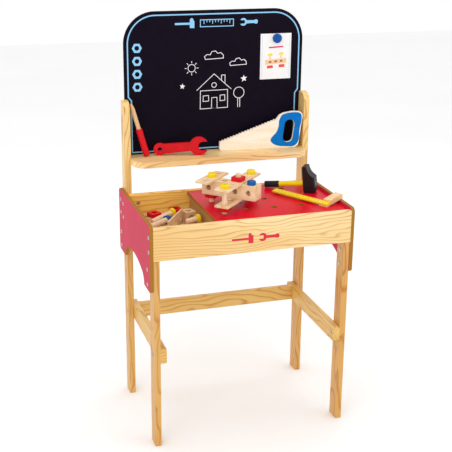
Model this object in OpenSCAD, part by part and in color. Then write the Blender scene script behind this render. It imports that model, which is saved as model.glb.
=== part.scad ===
// Child's tool bench: a pine frame with red side panels, a parts tray, a drilled
// worktop, a tool shelf and a chalkboard, with its wooden tools and a bolted toy plane.
// Millimetres, +Z up, +Y to the back, origin at the middle of the footprint on the floor.

/* [Bench] */
// Width over the side panels
bench_w = 540; // [530:1:550]
// Depth of the side panels
bench_d = 352; // [350:0.5:354]
// Height of the chalkboard's top edge
bench_h = 1072; // [1060:1:1090]
// Thickness of the side panels, worktop and divider
panel_t = 9; // [8.5:0.5:9.5]
// Height of the side panels' top edge
panel_top = 604; // [603:0.5:606]
// Height of the side panels' feet
panel_foot = 430; // [425:1:435]
// Width of the arch between a side panel's feet
arch_w = 220; // [200:1:230]
// Rise of that arch
arch_h = 46; // [42:1:50]
// Radius of the arch's two ends
arch_end_r = 31; // [26:1:36]

/* [Pine frame] */
// Thickness of every pine board
pine_t = 16; // [15.5:0.5:16.5]
// Depth of the legs and uprights
leg_d = 40.5; // [40:0.5:42]
// Height of the front legs and back legs
leg_h = 512; // [510:0.5:514]
// Height of the aprons
apron_h = 86; // [84:0.5:88]
// Set-back of the front legs and rails from the panel's edge
leg_inset = 3; // [2:0.5:4]
// Height of an upright's top
upright_top = 845; // [835:1:855]
// Radius of an upright's front top corner
upright_r = 25; // [20:1:30]
// Height of the rails' lower edge
rail_z = 232; // [220:1:245]
// Depth of the rails' section
rail_h = 42; // [38:1:44]

/* [Worktop and tray] */
// Height of the worktop's upper face
worktop_z = 596; // [595:0.5:598]
// Left edge of the worktop
worktop_x = -95; // [-100:1:-92]
// Diameter of the worktop's holes
hole_d = 15; // [14.8:0.1:15.4]
// Distance between the worktop's holes
hole_pitch = 76; // [70:1:80]
// Middle hole, from the middle of the bench, across and back
hole_mid = [83.5, -10]; // [-20:0.5:90]
// Height of the tray floor's upper face
floor_z = 545; // [544:0.5:546]
// Thickness of the tray floor
floor_t = 4; // [3:0.5:4.5]

/* [Board and shelf] */
// Width of the chalkboard above the uprights
board_w = 500; // [490:1:504]
// Thickness of the chalkboard
board_t = 7; // [6:0.5:7]
// Radius of its top corners
board_r = 84; // [60:1:100]
// Height of the tool shelf's upper face
shelf_z = 693; // [690:1:696]
// Depth of the tool shelf
shelf_d = 91; // [85:1:92]
// Radius of the shelf's front corners
shelf_r = 38; // [30:1:42]

/* [Construction set] */
// Distance between the holes of the wooden blocks and plates
cell = 38; // [37:0.5:38.5]
// Thickness of the drilled plates
plate_t = 5; // [4:0.5:5.5]
// Diameter of a bolt's shank
shank_d = 14; // [13.6:0.1:14.2]
// Diameter of a bolt's head
head_d = 23; // [22:0.5:24]
// Thickness of a bolt's head
head_h = 10.5; // [9:0.5:11]
// Shank length of a long bolt
long_shank = 68; // [67.8:0.1:69]
// Shank length of a short bolt
short_shank = 30; // [26:1:32]
// Side of a square nut
nut_w = 29; // [27:0.5:30]
// Thickness of a square nut
nut_t = 10.8; // [10:0.1:11]

/* [Hidden] */

$fn = 64;
eps = 0.01;
gap = 0.3;               // between pieces that only rest on each other
face_gap = 0.15;         // between flat faces clamped by a bolt
through = 2;             // how far a cutter runs past a face

pine = [0.93, 0.74, 0.47];
mdf_red = [0.80, 0.22, 0.28];
top_red = [0.83, 0.07, 0.18];
steel = [0.75, 0.75, 0.77];
beech = [0.93, 0.80, 0.62];
paint_red = [0.87, 0.06, 0.12];
paint_yellow = [0.95, 0.82, 0.12];
paint_blue = [0.04, 0.45, 0.74];
black = [0.10, 0.09, 0.12];

half_w = bench_w / 2;
half_d = bench_d / 2;
inner_x = half_w - panel_t;              // inner face of a side panel
post_x = inner_x - pine_t;               // inner face of a leg or upright
rail_x = post_x - pine_t;                // inner face of a side rail
board_y = half_d - board_t;              // front face of the chalkboard
post_back_y = board_y - leg_d;           // front face of a back leg or upright
post_front_y = -half_d + leg_inset;      // front face of a front leg
front_apron_y = -half_d + pine_t;        // inner face of the front apron
back_apron_y = post_back_y - pine_t;     // inner face of the back apron
shelf_y = board_y - shelf_d;             // front edge of the tool shelf

// Threaded joinery: M6 bolts, sleeve nuts in posts, cross dowels in boards
bolt_d = 6;
bolt_bore = 6.4;
bolt_head_d = 11;
bolt_head_h = 2;
socket_d = 4;
sleeve_d = 8;
sleeve_len = 12;
sleeve_bore = 8.4;
sleeve_head_h = 1.4;
dowel_d = 10;
dowel_len = 13;
dowel_in = 30;                            // cross dowel's distance from a board's end
apron_bolt_z = [leg_h + 23.5, leg_h + 61];
upright_bolt_z = [leg_h + 29, leg_h + 65];
leg_bolt_z = [leg_h - 66, leg_h - 27];
front_leg_bolt_y = post_front_y + 22;
back_leg_bolt_y = post_back_y + 21;
front_apron_bolt_y = front_apron_y - pine_t / 2;
back_apron_bolt_y = back_apron_y + pine_t / 2;
rail_bolt_z = rail_z + rail_h / 2;
front_rail_bolt_y = post_front_y + leg_d / 2;
back_rail_y = post_back_y + 3;            // front face of the back rail
back_rail_bolt_y = back_rail_y + pine_t / 2;

// Chalkboard: its shoulders widen behind the uprights, where the screws go
board_low_half = half_w - panel_t - 3;
board_step_z = upright_top - 8;
board_bottom = shelf_z - pine_t;
screw_x = post_x + 7;
board_screw_z = [709, 748, 788, 824];
shelf_screw_x = [-200, -100, 0, 100, 200];
screw_d = 3.5;
screw_bore = 3.6;
screw_head_d = 7;
screw_len = 20;

// Tray floor grooves and worktop battens
groove = 5;
batten = 12;
divider_inset = 6;

// ---------------------------------------------------------------- outlines

// Square of side r less its quarter circle: cuts one rounded corner
module corner_cut(r) {
    difference() {
        translate([-1, -1]) square(r + 1);
        translate([r, r]) circle(r);
    }
}

// Rectangle from the origin with radii [bottom left, bottom right, top right, top left]
module rounded_rect(w, h, radii) {
    difference() {
        square([w, h]);
        if (radii[0] > 0) corner_cut(radii[0]);
        if (radii[1] > 0) translate([w, 0]) rotate(90) corner_cut(radii[1]);
        if (radii[2] > 0) translate([w, h]) rotate(180) corner_cut(radii[2]);
        if (radii[3] > 0) translate([0, h]) rotate(270) corner_cut(radii[3]);
    }
}

// Extrudes an outline drawn in (Y, Z) along +X from x
module along_x(x, t) {
    translate([x, 0, 0]) rotate([90, 0, 90]) linear_extrude(t) children();
}

// Extrudes an outline drawn in (X, Z) along +Y from y
module along_y(y, t) {
    translate([0, y + t, 0]) rotate([90, 0, 0]) linear_extrude(t) children();
}

// Three-centred arch standing on the origin, for the side panels' lower edge
module arch_outline() {
    side = arch_w / 2 - arch_end_r;
    crown_r = (side * side + arch_h * arch_h - arch_end_r * arch_end_r)
        / (2 * (arch_h - arch_end_r));
    crown_z = arch_h - crown_r;
    reach = crown_r / (crown_r - arch_end_r) * 1.2;
    for (s = [-1, 1]) translate([s * side, 0]) circle(arch_end_r);
    translate([-side, -through]) square([2 * side, through + eps]);
    intersection() {
        translate([0, crown_z]) circle(crown_r, $fn = 180);
        polygon([
            [0, crown_z],
            [side * reach, crown_z * (1 - reach)],
            [side * reach, arch_h + 1],
            [-side * reach, arch_h + 1],
            [-side * reach, crown_z * (1 - reach)]]);
        translate([-arch_w, 0]) square([2 * arch_w, arch_h + 1]);
    }
}

// ---------------------------------------------------------------- holes and fasteners

// Bore along X through x0..x1 at (y, z)
module bore_x(x0, x1, y, z, d) {
    translate([x0, y, z]) rotate([0, 90, 0]) cylinder(d = d, h = x1 - x0);
}

// Bore along Y through y0..y1 at (x, z)
module bore_y(y0, y1, x, z, d) {
    translate([x, y0, z]) rotate([-90, 0, 0]) cylinder(d = d, h = y1 - y0);
}

// Machine bolt along +X: head's underside at the origin, head on the -X side
module machine_bolt(len) {
    rotate([0, 90, 0]) difference() {
        union() {
            cylinder(d = bolt_d, h = len);
            rotate_extrude() polygon([
                [0, 0], [bolt_head_d / 2, 0], [bolt_head_d / 2, -0.8],
                [bolt_head_d / 2 - 1.2, -bolt_head_h], [0, -bolt_head_h]]);
        }
        translate([0, 0, -bolt_head_h - eps]) cylinder(d = socket_d, h = 1.6, $fn = 6);
    }
}

// Sleeve nut along -X: flange's underside at the origin, flange on the +X side
module sleeve_nut() {
    rotate([0, -90, 0]) difference() {
        union() {
            cylinder(d = sleeve_d, h = sleeve_len);
            translate([0, 0, -sleeve_head_h]) cylinder(d = bolt_head_d, h = sleeve_head_h);
        }
        translate([0, 0, -eps]) cylinder(d = bolt_d + 0.1, h = sleeve_len + through);
    }
}

// Cross dowel along Y, centred, with its bolt hole along X
module barrel_nut() {
    difference() {
        bore_y(-dowel_len / 2, dowel_len / 2, 0, 0, dowel_d);
        bore_x(-dowel_d, dowel_d, 0, 0, bolt_d + 0.1);
    }
}

// Countersunk wood screw along -Y: head flush with the origin's plane
module wood_screw() {
    rotate([90, 0, 0]) difference() {
        union() {
            rotate_extrude() polygon([
                [0, 0], [screw_head_d / 2, 0], [screw_d / 2, 2.4],
                [screw_d / 2, screw_len - 4], [0.3, screw_len], [0, screw_len]]);
        }
        translate([-2.2, -0.4, -eps]) cube([4.4, 0.8, 1.1]);
        translate([-0.4, -2.2, -eps]) cube([0.8, 4.4, 1.1]);
    }
}

// Hole for a wood screw, with its countersink at the origin's plane
module screw_hole(depth) {
    rotate([90, 0, 0]) {
        translate([0, 0, -through]) cylinder(d = screw_bore, h = depth + through);
        rotate_extrude() polygon([
            [0, -0.05], [screw_head_d / 2 + 0.1, -0.05], [screw_d / 2, 2.5], [0, 2.5]]);
    }
}

// Places children at each of a side's bolts: [y, z] pairs
module at_points(points) {
    for (p = points) translate([0, p[0], p[1]]) children();
}

apron_bolts = [for (y = [front_apron_bolt_y, back_apron_bolt_y], z = apron_bolt_z) [y, z]];
post_bolts = concat(
    [for (z = leg_bolt_z) [front_leg_bolt_y, z]],
    [for (z = concat(leg_bolt_z, upright_bolt_z)) [back_leg_bolt_y, z]]);

// ---------------------------------------------------------------- bench

module side_panel(side) {
    color(mdf_red) difference() {
        along_x(side < 0 ? -half_w : inner_x, panel_t) difference() {
            translate([-half_d, panel_foot])
                rounded_rect(bench_d, panel_top - panel_foot, [8, 8, 12, 12]);
            translate([0, panel_foot]) arch_outline();
        }
        for (p = concat(apron_bolts, post_bolts))
            bore_x(side < 0 ? -half_w - through : inner_x - through,
                side < 0 ? -inner_x + through : half_w + through, p[0], p[1], bolt_bore);
    }
}

// Apron board between the side panels; inner is the direction of its inner face
module apron(y, inner) {
    color(pine) difference() {
        along_x(-inner_x, 2 * inner_x) translate([y, leg_h])
            rounded_rect(pine_t, apron_h, [1.5, 1.5, 4, 4]);
        for (s = [-1, 1], z = apron_bolt_z) {
            bore_x(s < 0 ? -inner_x - 1 : inner_x - dowel_in - 12,
                s < 0 ? -inner_x + dowel_in + 12 : inner_x + 1, y + pine_t / 2, z, 7);
            bore_y(inner > 0 ? y + pine_t / 2 - dowel_len / 2 : y - 1,
                inner > 0 ? y + pine_t + 1 : y + pine_t / 2 + dowel_len / 2,
                s * (inner_x - dowel_in), z, dowel_d + 0.2);
        }
        translate([-inner_x - 1, inner > 0 ? y + pine_t - groove - 0.1 : y - 1,
            floor_z - floor_t - 0.1]) cube([2 * inner_x + 2, groove + 1.1, floor_t + 0.2]);
    }
}

module front_apron() {
    apron(-half_d, 1);
}

module back_apron() {
    apron(back_apron_y, -1);
}

module tray_floor() {
    color(beech) translate([-inner_x, front_apron_y - groove, floor_z - floor_t])
        cube([2 * inner_x, back_apron_y - front_apron_y + 2 * groove, floor_t]);
}

module tray_divider() {
    color(beech) translate([worktop_x + divider_inset, front_apron_y, floor_z])
        cube([panel_t, back_apron_y - front_apron_y, worktop_z - panel_t - floor_z]);
}

module worktop() {
    color(top_red) difference() {
        translate([worktop_x, front_apron_y, worktop_z - panel_t])
            cube([inner_x - worktop_x, back_apron_y - front_apron_y, panel_t]);
        for (i = [-1:1], j = [-1:1])
            translate([hole_mid[0] + i * hole_pitch, hole_mid[1] + j * hole_pitch,
                worktop_z - panel_t - through])
                cylinder(d = hole_d, h = panel_t + 2 * through);
    }
}

module worktop_battens() {
    x0 = worktop_x + divider_inset + panel_t;
    color(pine) for (y = [front_apron_y, back_apron_y - batten])
        translate([x0, y, worktop_z - panel_t - batten]) cube([inner_x - x0, batten, batten]);
}

// Upright post of height h with its front face at y, from z0
module post(side, y, z0, h, front_top_r) {
    x = side < 0 ? -inner_x : post_x;
    along_x(x, pine_t) translate([y, z0])
        rounded_rect(leg_d, h, [0, 0, front_top_r > 0 ? 3 : 0, front_top_r]);
}

// Bores for a post's sleeve nuts at (y, z) for each z
module post_bores(side, y, heights) {
    for (z = heights)
        bore_x(side < 0 ? -inner_x - 1 : post_x - 1,
            side < 0 ? -post_x + 1 : inner_x + 1, y, z, sleeve_bore);
}

module front_leg(side) {
    color(pine) difference() {
        post(side, post_front_y, 0, leg_h, 0);
        post_bores(side, front_leg_bolt_y, leg_bolt_z);
        post_bores(side, front_rail_bolt_y, [rail_bolt_z]);
    }
}

module back_leg(side) {
    color(pine) difference() {
        post(side, post_back_y, 0, leg_h, 0);
        post_bores(side, back_leg_bolt_y, leg_bolt_z);
        post_bores(side, back_rail_bolt_y, [rail_bolt_z]);
    }
}

module upright(side) {
    color(pine) difference() {
        post(side, post_back_y, leg_h, upright_top - leg_h, upright_r);
        post_bores(side, back_leg_bolt_y, upright_bolt_z);
        for (z = board_screw_z) translate([side * screw_x, half_d, z]) screw_hole(screw_len + 1);
    }
}

module side_rail(side) {
    len = 2 * (half_d - leg_inset);
    x = side < 0 ? -post_x : rail_x;
    color(pine) difference() {
        along_x(x, pine_t) translate([-len / 2, rail_z])
            rounded_rect(len, rail_h, [8, 8, 8, 8]);
        bore_x(x - 1, x + pine_t + 1, front_rail_bolt_y, rail_bolt_z, sleeve_bore);
        bore_x(x - 1, x + pine_t + 1, back_rail_bolt_y, rail_bolt_z, bolt_bore);
    }
}

module back_rail() {
    color(pine) difference() {
        along_x(-rail_x, 2 * rail_x) translate([back_rail_y, rail_z])
            rounded_rect(pine_t, rail_h, [2, 2, 2, 2]);
        for (s = [-1, 1]) {
            bore_x(s < 0 ? -rail_x - 1 : rail_x - dowel_in - 12,
                s < 0 ? -rail_x + dowel_in + 12 : rail_x + 1,
                back_rail_bolt_y, rail_bolt_z, 7);
            bore_y(back_rail_bolt_y - dowel_len / 2, back_rail_y + pine_t + 1,
                s * (rail_x - dowel_in), rail_bolt_z, dowel_d + 0.2);
        }
    }
}

module tool_shelf() {
    color(pine) difference() {
        translate([-post_x, shelf_y, shelf_z - pine_t]) linear_extrude(pine_t)
            rounded_rect(2 * post_x, shelf_d, [shelf_r, shelf_r, 0, 0]);
        for (x = shelf_screw_x)
            translate([x, half_d, shelf_z - pine_t / 2]) screw_hole(screw_len + 1);
    }
}

module chalkboard() {
    color(black) difference() {
        along_y(board_y, board_t) {
            translate([-board_w / 2, board_bottom])
                rounded_rect(board_w, bench_h - board_bottom, [0, 0, board_r, board_r]);
            translate([-board_low_half, board_bottom])
                rounded_rect(2 * board_low_half, board_step_z - board_bottom, [0, 0, 3, 3]);
        }
        for (s = [-1, 1], z = board_screw_z)
            translate([s * screw_x, half_d, z]) screw_hole(screw_len);
        for (x = shelf_screw_x)
            translate([x, half_d, shelf_z - pine_t / 2]) screw_hole(screw_len);
    }
}

module panel_bolts() {
    color(steel) for (s = [-1, 1]) {
        at_points(apron_bolts) translate([s * half_w, 0, 0])
            rotate([0, 0, s < 0 ? 0 : 180]) machine_bolt(panel_t + dowel_in + 8);
        at_points(post_bolts) translate([s * half_w, 0, 0])
            rotate([0, 0, s < 0 ? 0 : 180]) machine_bolt(panel_t + pine_t - 1);
    }
}

module sleeve_nuts() {
    color(steel) for (s = [-1, 1]) {
        at_points(post_bolts) translate([s * post_x, 0, 0])
            rotate([0, 0, s < 0 ? 0 : 180]) sleeve_nut();
        translate([s * rail_x, front_rail_bolt_y, rail_bolt_z])
            rotate([0, 0, s < 0 ? 0 : 180]) sleeve_nut();
    }
}

module barrel_nuts() {
    color(steel) for (s = [-1, 1]) {
        for (p = apron_bolts) translate([s * (inner_x - dowel_in), p[0], p[1]]) barrel_nut();
        translate([s * (rail_x - dowel_in), back_rail_bolt_y, rail_bolt_z]) barrel_nut();
    }
}

module rail_bolts() {
    color(steel) for (s = [-1, 1]) translate([s * inner_x, 0, rail_bolt_z]) {
        translate([0, front_rail_bolt_y, 0])
            rotate([0, 0, s < 0 ? 0 : 180]) machine_bolt(2 * pine_t - 1);
        translate([0, back_rail_bolt_y, 0])
            rotate([0, 0, s < 0 ? 0 : 180]) machine_bolt(2 * pine_t + dowel_in + 8);
    }
}

module board_screws() {
    color(steel) {
        for (s = [-1, 1], z = board_screw_z) translate([s * screw_x, half_d, z]) wood_screw();
        for (x = shelf_screw_x) translate([x, half_d, shelf_z - pine_t / 2]) wood_screw();
    }
}

// ---------------------------------------------------------------- tools on the shelf

driver_lean = 16;
driver_d = 17.5;
driver_handle = 77;
driver_shank_d = 11.5;
driver_len = 147;
driver_socket = 25;
driver_x = -198.5;
driver_y = 142;

// Frame of the screwdriver, its butt on the shelf and its tip against the left upright
module at_screwdriver() {
    translate([driver_x, driver_y, shelf_z + gap + driver_d / 2 * sin(driver_lean)])
        rotate([0, -driver_lean, 0]) children();
}

module screwdriver_handle() {
    color(paint_red) at_screwdriver() difference() {
        rotate_extrude() polygon([
            [0, 0], [driver_d / 2 - 1.5, 0], [driver_d / 2, 1.5],
            [driver_d / 2, driver_handle - 1.5], [driver_d / 2 - 1.5, driver_handle],
            [0, driver_handle]]);
        translate([0, 0, driver_handle - driver_socket])
            cylinder(d = driver_shank_d + 0.1, h = driver_socket + through);
    }
}

module screwdriver_shank() {
    blade_len = 16;
    blade_t = 4;
    color(beech) at_screwdriver() difference() {
        translate([0, 0, driver_handle - driver_socket])
            cylinder(d = driver_shank_d, h = driver_len - driver_handle + driver_socket);
        for (a = [0, 180]) rotate([90, 0, a]) translate([0, 0, -driver_shank_d])
            linear_extrude(2 * driver_shank_d) polygon([
                [driver_shank_d / 2, driver_len - blade_len],
                [blade_t / 2, driver_len], [blade_t / 2, driver_len + 1],
                [driver_shank_d, driver_len + 1], [driver_shank_d, driver_len - blade_len]]);
    }
}

wrench_t = 9;
wrench_end_r = 17;
wrench_hole_d = 11;
wrench_head_r = 25.5;
wrench_head_x = 122;
wrench_mouth_w = 25;
wrench_mouth_x = 133;

// Points of an arc about c from one angle to another
function arc_points(c, r, from, to, n = 8) =
    [for (i = [0:n]) c + r * [cos(from + (to - from) * i / n), sin(from + (to - from) * i / n)]];

// Wrench outline lying along +X, resting on its round end and lower jaw
module wrench_outline() {
    mouth_low = wrench_head_r - wrench_mouth_w / 2;
    difference() {
        polygon(concat(
            arc_points([wrench_end_r, wrench_end_r], wrench_end_r, 59, 316, 32),
            arc_points([wrench_head_x, wrench_head_r], wrench_head_r, 212, 516, 40)));
        translate([wrench_end_r, wrench_end_r]) circle(d = wrench_hole_d);
        translate([wrench_mouth_x, wrench_head_r]) circle(d = wrench_mouth_w);
        translate([wrench_mouth_x, mouth_low]) square([wrench_head_r, wrench_mouth_w]);
    }
}

module wrench() {
    color(paint_red) translate([-178.4, 149.4, shelf_z + gap]) rotate([0, 0, -15])
        along_y(-wrench_t / 2, wrench_t) wrench_outline();
}

saw_t = 9;
saw_tip = 26;                     // height of the blade's narrow end
saw_teeth = 20;
saw_tooth_w = 8.6;
saw_tooth_h = 3;
saw_slope = 19.6;
saw_slot_x = 196.5;
saw_slot_z = 47.5;
saw_slot_lean = 7;
saw_slot_w = 29;
saw_slot_h = 64;

// Points of the saw's teeth, from the handle to the blade's narrow end
function tooth_points() = [
    for (i = [2 * saw_teeth:-1:0])
        let (along = i * saw_tooth_w / 2, deep = i % 2 == 0 ? 0 : saw_tooth_h)
            [along * cos(saw_slope) + deep * sin(saw_slope),
             saw_tip + along * sin(saw_slope) - deep * cos(saw_slope)]];

// Saw outline lying along +X on its straight back, teeth up
module saw_outline() {
    difference() {
        polygon(concat(
            arc_points([5, 5], 5, 180, 270, 4),
            arc_points([213, 13], 13, 270, 354),
            arc_points([222.7, 88], 13, 354, 450),
            [[205, 102], [181, 98], [170, 93]],
            tooth_points()));
        translate([saw_slot_x, saw_slot_z]) rotate(-saw_slot_lean) {
            offset = (saw_slot_h - saw_slot_w) / 2;
            for (s = [-1, 1]) translate([0, s * offset]) circle(d = saw_slot_w);
            square([saw_slot_w, 2 * offset], center = true);
        }
    }
}

module saw() {
    color(beech) translate([7.5, 151, shelf_z + gap]) rotate([0, 0, -4.3])
        along_y(-saw_t / 2, saw_t) saw_outline();
}

// ---------------------------------------------------------------- tools on the worktop

grip_d = 17.2;
grip_len = 41;
shaft_d = 15.4;
grip_wall_end = 2.5;
hammer_yaw = -36;
hammer_tilt = 6.5;
hammer_butt = [121.6, 91];
shaft_out = 111;                 // shaft length outside the head
hammer_head_w = 33;              // along the shaft
hammer_head_d = 36;              // across the shaft
hammer_head_low = 21.5;          // striking face below the shaft's axis
hammer_head_high = 50;           // peen above the shaft's axis
peen_w = 14;
shoulder_z = 19;
peen_sagitta = 5;

// Frame of the hammer: shaft along +X, butt at the origin, resting on butt and face
module at_hammer() {
    translate([hammer_butt[0], hammer_butt[1], worktop_z + gap + grip_d / 2])
        rotate([0, -hammer_tilt, hammer_yaw]) children();
}

module hammer_head() {
    chord = [hammer_head_w - peen_w, shoulder_z - hammer_head_high];
    half_chord = norm(chord) / 2;
    r = (half_chord * half_chord + peen_sagitta * peen_sagitta) / (2 * peen_sagitta);
    normal = [-chord[1], chord[0]] / norm(chord);
    middle = [peen_w + hammer_head_w, hammer_head_high + shoulder_z] / 2;
    centre = middle + normal * (r - peen_sagitta);
    edge = 4;
    foot = 2;
    color(black) at_hammer() translate([shaft_out, 0, 0]) difference() {
        intersection() {
            along_y(-hammer_head_d / 2, hammer_head_d) difference() {
                polygon([
                    [foot, -hammer_head_low], [hammer_head_w - foot, -hammer_head_low],
                    [hammer_head_w, foot - hammer_head_low], [hammer_head_w, shoulder_z],
                    [peen_w, hammer_head_high], [foot, hammer_head_high],
                    [0, hammer_head_high - foot], [0, foot - hammer_head_low]]);
                translate(centre) circle(r, $fn = 96);
            }
            translate([0, 0, -hammer_head_low - 1])
                linear_extrude(hammer_head_low + hammer_head_high + 2) polygon([
                    [edge, -hammer_head_d / 2], [hammer_head_w - edge, -hammer_head_d / 2],
                    [hammer_head_w, edge - hammer_head_d / 2],
                    [hammer_head_w, hammer_head_d / 2 - edge],
                    [hammer_head_w - edge, hammer_head_d / 2], [edge, hammer_head_d / 2],
                    [0, hammer_head_d / 2 - edge], [0, edge - hammer_head_d / 2]]);
        }
        bore_x(-1, hammer_head_w + 1, 0, 0, shaft_d + 0.1);
    }
}

module hammer_shaft() {
    color(paint_yellow) at_hammer()
        bore_x(grip_wall_end, shaft_out + hammer_head_w, 0, 0, shaft_d);
}

module hammer_grip() {
    color(black) at_hammer() difference() {
        rotate([0, 90, 0]) rotate_extrude() polygon([
            [0, 0], [grip_d / 2 - 1.2, 0], [grip_d / 2, 1.2], [grip_d / 2, grip_len],
            [0, grip_len]]);
        bore_x(grip_wall_end - 0.05, grip_len + 1, 0, 0, shaft_d + 0.1);
    }
}

square_corner = [211, -129.5];
square_yaw = 30;
square_tilt = 8;
stock_len = 71;
stock_w = 24;
stock_t = 12;
ruler_w = 19;
ruler_len = 182;
ruler_t = 4;
ruler_low = 4;                   // height of the ruler's underside in the stock

// Frame of the try square: corner on the worktop, stock along +X, ruler along +Y
module at_square() {
    translate([square_corner[0], square_corner[1], worktop_z + gap])
        rotate([0, -square_tilt, square_yaw]) children();
}

module square_stock() {
    color(beech) at_square() difference() {
        cube([stock_len, stock_w, stock_t]);
        translate([-1, -1, ruler_low - 0.02])
            cube([ruler_w + 1.05, stock_w + 2, stock_t]);
    }
}

module square_ruler() {
    color(paint_yellow) at_square() translate([0, 0, ruler_low])
        cube([ruler_w, ruler_len, ruler_t]);
}

magnet_d = 25;
magnet_t = 7.5;
magnet_pos = [175, 992];
card_w = 89;
card_h = 124;
card_t = 0.6;
card_x = 128;
card_z = 881;

module magnet() {
    color(paint_blue) translate([magnet_pos[0], board_y - gap - card_t - face_gap, magnet_pos[1]])
        rotate([90, 0, 0]) rotate_extrude() polygon([
            [0, 0], [magnet_d / 2, 0], [magnet_d / 2, magnet_t - 2],
            [magnet_d / 2 - 2, magnet_t], [0, magnet_t]]);
}

module plan_card() {
    color("white") along_y(board_y - gap - card_t, card_t)
        translate([card_x, card_z]) square([card_w, card_h]);
}

// ---------------------------------------------------------------- construction set

// Wooden bolt standing on its shank's end: head's underside at height len
module toy_bolt(len) {
    chamfer = 2.2;
    slot_w = 3;
    slot_depth = 3;
    difference() {
        union() {
            rotate_extrude() polygon([
                [0, 0], [shank_d / 2 - 1, 0], [shank_d / 2, 1], [shank_d / 2, len],
                [head_d / 2, len], [head_d / 2, len + head_h - chamfer],
                [head_d / 2 - chamfer, len + head_h], [0, len + head_h]]);
        }
        translate([-head_d, -slot_w / 2, len + head_h - slot_depth])
            cube([2 * head_d, slot_w, slot_depth + 1]);
    }
}

// Square nut standing on the origin
module toy_nut() {
    bore = shank_d + 0.6;
    difference() {
        translate([-nut_w / 2, -nut_w / 2, 0]) linear_extrude(nut_t)
            rounded_rect(nut_w, nut_w, [3, 3, 3, 3]);
        translate([0, 0, -1]) cylinder(d = bore, h = nut_t + 2);
    }
}

// Drilled plate of n holes, the first at the origin and the rest along +X
module drilled_plate(n) {
    difference() {
        translate([-cell / 2, -cell / 2, 0]) cube([n * cell, cell, plate_t]);
        for (i = [0:n - 1]) translate([i * cell, 0, -1]) cylinder(d = hole_d, h = plate_t + 2);
    }
}

// Drilled block of n cells, holes down and across through each cell
module drilled_block(n) {
    difference() {
        translate([-cell / 2, -cell / 2, 0]) cube([n * cell, cell, cell]);
        for (i = [0:n - 1]) {
            translate([i * cell, 0, -1]) cylinder(d = hole_d, h = cell + 2);
            bore_y(-cell / 2 - 1, cell / 2 + 1, i * cell, cell / 2, hole_d);
        }
    }
}

// Toy plane: fuselage along +X from the tail bolt, wings along Y, on the worktop
plane_pos = [-59, 1];
plane_yaw = -44.8;
wing_x = 2 * cell;                       // wings' place along the fuselage
wing_reach = 2 * cell;                   // strut bolts' distance from the fuselage
plane_foot = worktop_z + gap;
upper_z = plane_foot + long_shank - face_gap - plate_t;
fuselage_z = upper_z - face_gap - cell;
lower_z = fuselage_z - plate_t;
peg_d = 10;
peg_len = 21;

module at_plane() {
    translate([plane_pos[0], plane_pos[1], 0]) rotate([0, 0, plane_yaw]) children();
}

module peg_hole() {
    bore_x(2.5 * cell - peg_len / 2 - 0.2, 2.5 * cell + peg_len / 2 + 0.2, 0,
        fuselage_z + cell / 2, peg_d + 0.1);
}

module plane_fuselage() {
    color(beech) at_plane() difference() {
        translate([0, 0, fuselage_z]) drilled_block(3);
        peg_hole();
    }
}

module plane_nose() {
    color(beech) at_plane() difference() {
        translate([3 * cell, 0, fuselage_z]) drilled_block(1);
        peg_hole();
    }
}

module plane_nose_peg() {
    color(beech) at_plane()
        bore_x(2.5 * cell - peg_len / 2, 2.5 * cell + peg_len / 2, 0,
            fuselage_z + cell / 2, peg_d);
}

// Plate of n holes lying across the fuselage at x, centred on it
module cross_plate(n, x, z) {
    translate([x, -(n - 1) / 2 * cell, z]) rotate([0, 0, 90]) drilled_plate(n);
}

module plane_upper_wing() {
    color(beech) at_plane() cross_plate(5, wing_x, upper_z);
}

module plane_lower_wing() {
    color(beech) at_plane() cross_plate(5, wing_x, lower_z);
}

module plane_tail() {
    color(beech) at_plane() cross_plate(3, 0, upper_z);
}

module plane_bolt_tail() {
    color(paint_yellow) at_plane() translate([0, 0, plane_foot]) toy_bolt(long_shank);
}

// Strut bolt through both wings, on one side of the fuselage
module plane_strut_bolt(side) {
    color(paint_yellow) at_plane() translate([wing_x, side * wing_reach, plane_foot])
        rotate([0, 0, 30]) toy_bolt(long_shank);
}

module plane_bolt_centre() {
    color(paint_blue) at_plane() translate([wing_x, 0, lower_z - face_gap + long_shank])
        rotate([180, 0, 0]) toy_bolt(long_shank);
}

module plane_bolt_nose() {
    color(paint_blue) at_plane()
        translate([3 * cell, 0, fuselage_z + cell + face_gap - short_shank])
            rotate([0, 0, 70]) toy_bolt(short_shank);
}

module plane_nut_tail() {
    color(paint_red) at_plane() translate([0, 0, fuselage_z - face_gap - nut_t]) toy_nut();
}

module plane_strut_nut(side) {
    color(paint_red) at_plane()
        translate([wing_x, side * wing_reach, lower_z - face_gap - nut_t]) toy_nut();
}

module plane_nut_centre() {
    color(paint_red) at_plane() translate([wing_x, 0, upper_z + plate_t + face_gap]) toy_nut();
}

// Loose pieces lying in the tray
tray_z = floor_z + gap;
on_plate_z = tray_z + plate_t + gap;
// Angle of a lying bolt whose head's rim and shank's end touch one surface, or whose
// head lies on a plate and whose shank reaches down to the floor
lying_drop = asin((head_d - shank_d) / 2 / long_shank);
short_drop = asin((head_d - shank_d) / 2 / short_shank);
plate_drop = asin((on_plate_z - tray_z + (head_d - shank_d) / 2) / (long_shank + head_h / 2));

block_pos = [-121.4, 7.4];
block_yaw = 14;
block_size = 30;
edge_plate_pos = [-148, -13.6];
edge_plate_yaw = -123;
left_plate_pos = [-182, 58];
left_plate_yaw = -8;
right_plate_pos = [-117.5, -34];
blue_bolt_pos = [-178, 4];
blue_bolt_yaw = -150;
yellow_bolt_pos = [-155.5, 42.5];
yellow_bolt_yaw = -151.4;
short_bolt_pos = [-103.6, -24];
short_bolt_yaw = 188;
left_nut_pos = [-201, 58.5];
back_nut_pos = [-133, 94.5];

// Height of a lying bolt's head's middle over the surface that its rim rests on
function lying_height(drop) = head_d / 2 * cos(drop) + head_h / 2 * sin(drop);

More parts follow.
